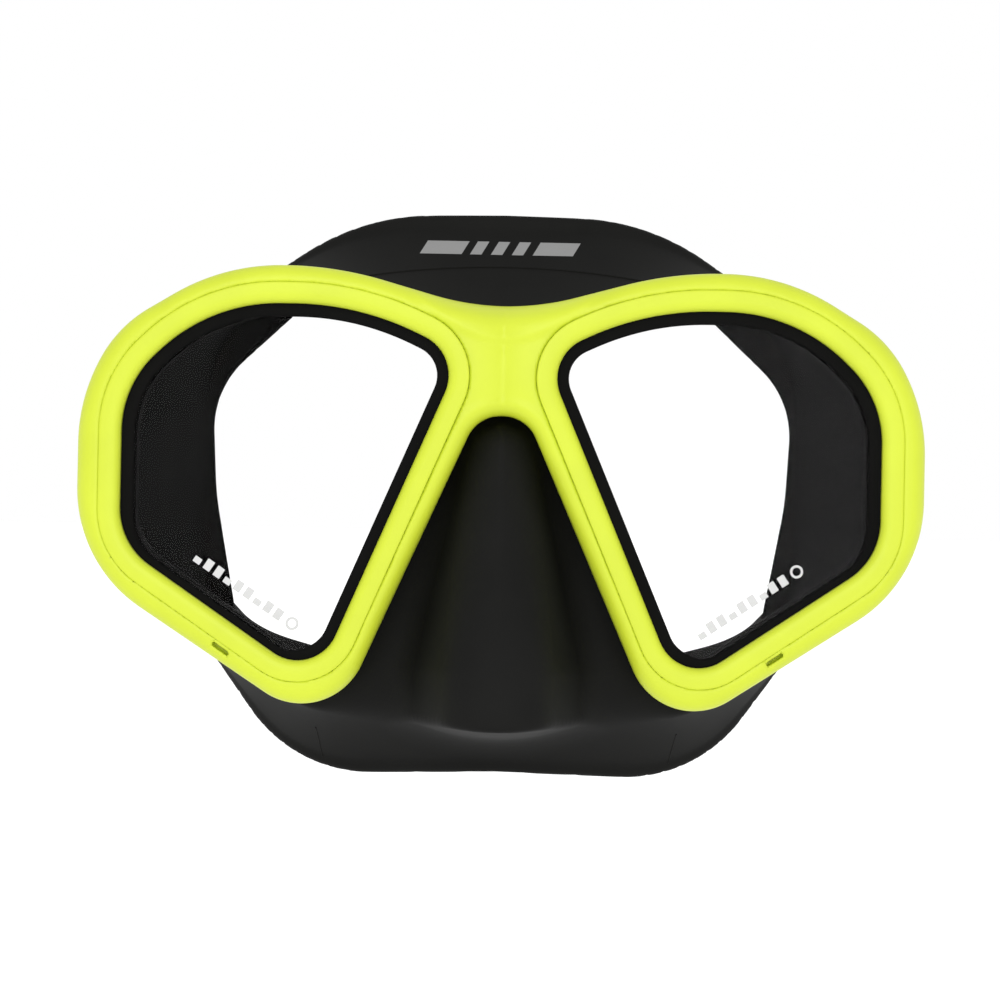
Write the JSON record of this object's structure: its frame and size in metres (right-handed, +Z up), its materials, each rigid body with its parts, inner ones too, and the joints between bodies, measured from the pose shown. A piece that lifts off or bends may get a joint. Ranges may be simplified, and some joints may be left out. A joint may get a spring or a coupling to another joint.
{
  "type": "snorkel mask",
  "caption": "Twin-lens diving and snorkelling mask with a stiff wrap-round frame, soft face skirt with nose pocket, and a split head strap on swivelling buckles.",
  "frame": {"origin": "on the wearer's face: mid-plane, eye line, mean plane of the seal there", "axes": "+X to the wearer's left, +Y into the face, +Z up; the lenses look along -Y"},
  "size_m": [0.16, 0.1542, 0.1088],
  "materials": {
    "frame": "satin moulded plastic, bright yellow",
    "bezel": "satin moulded plastic, bright yellow",
    "skirt": "matte black silicone rubber",
    "strap": "matte black silicone rubber",
    "lens": "clear toughened glass, polished",
    "buckle": "fine-grained black acetal",
    "lever": "satin moulded plastic, bright yellow",
    "roller": "black acetal",
    "pin": "turned stainless steel",
    "spring": "stainless spring wire"
  },
  "bodies": {
    "mask": {"frame": "frame", "skirt": "skirt", "lens_left": "lens", "lens_right": "lens", "lens_bezel_left": "bezel", "lens_bezel_right": "bezel"},
    "strap_loop": {"strap": "strap", "strap_keeper_left": "strap", "buckle_body_left": "buckle", "pivot_pin_left": "pin", "lever_pin_left": "pin", "lever_spring_left": "spring", "strap_keeper_right": "strap", "buckle_body_right": "buckle", "pivot_pin_right": "pin", "lever_pin_right": "pin", "lever_spring_right": "spring"},
    "lever_left": {"release_lever_left": "lever"},
    "lever_right": {"release_lever_right": "lever"},
    "roller_left": {"strap_roller_left": "roller"},
    "roller_right": {"strap_roller_right": "roller"}
  },
  "joints": [
    {"name": "strap_swing", "type": "hinge", "parent": "mask", "child": "strap_loop", "pos_m": [0, -0.006, 0.002], "axis": [1, 0, 0], "range_deg": [0, 45]},
    {"name": "release_left", "type": "hinge", "parent": "strap_loop", "child": "lever_left", "pos_m": [0.0768, 0.00332, -0.00215], "axis": [0, -0.4067, -0.9135], "range_deg": [0, 6.5], "stiffness_Nm_per_rad": 0.02, "springref_deg": -8.59},
    {"name": "roller_turn_left", "type": "hinge", "parent": "strap_loop", "child": "roller_left", "pos_m": [0.0715, 0.01044, -0.00532], "axis": [0, 0.4067, 0.9135], "continuous": true},
    {"name": "release_right", "type": "hinge", "parent": "strap_loop", "child": "lever_right", "pos_m": [-0.0768, 0.00332, -0.00215], "axis": [0, 0.4067, 0.9135], "range_deg": [0, 6.5], "stiffness_Nm_per_rad": 0.02, "springref_deg": -8.59},
    {"name": "roller_turn_right", "type": "hinge", "parent": "strap_loop", "child": "roller_right", "pos_m": [-0.0715, 0.01044, -0.00532], "axis": [0, 0.4067, 0.9135], "continuous": true}
  ]
}
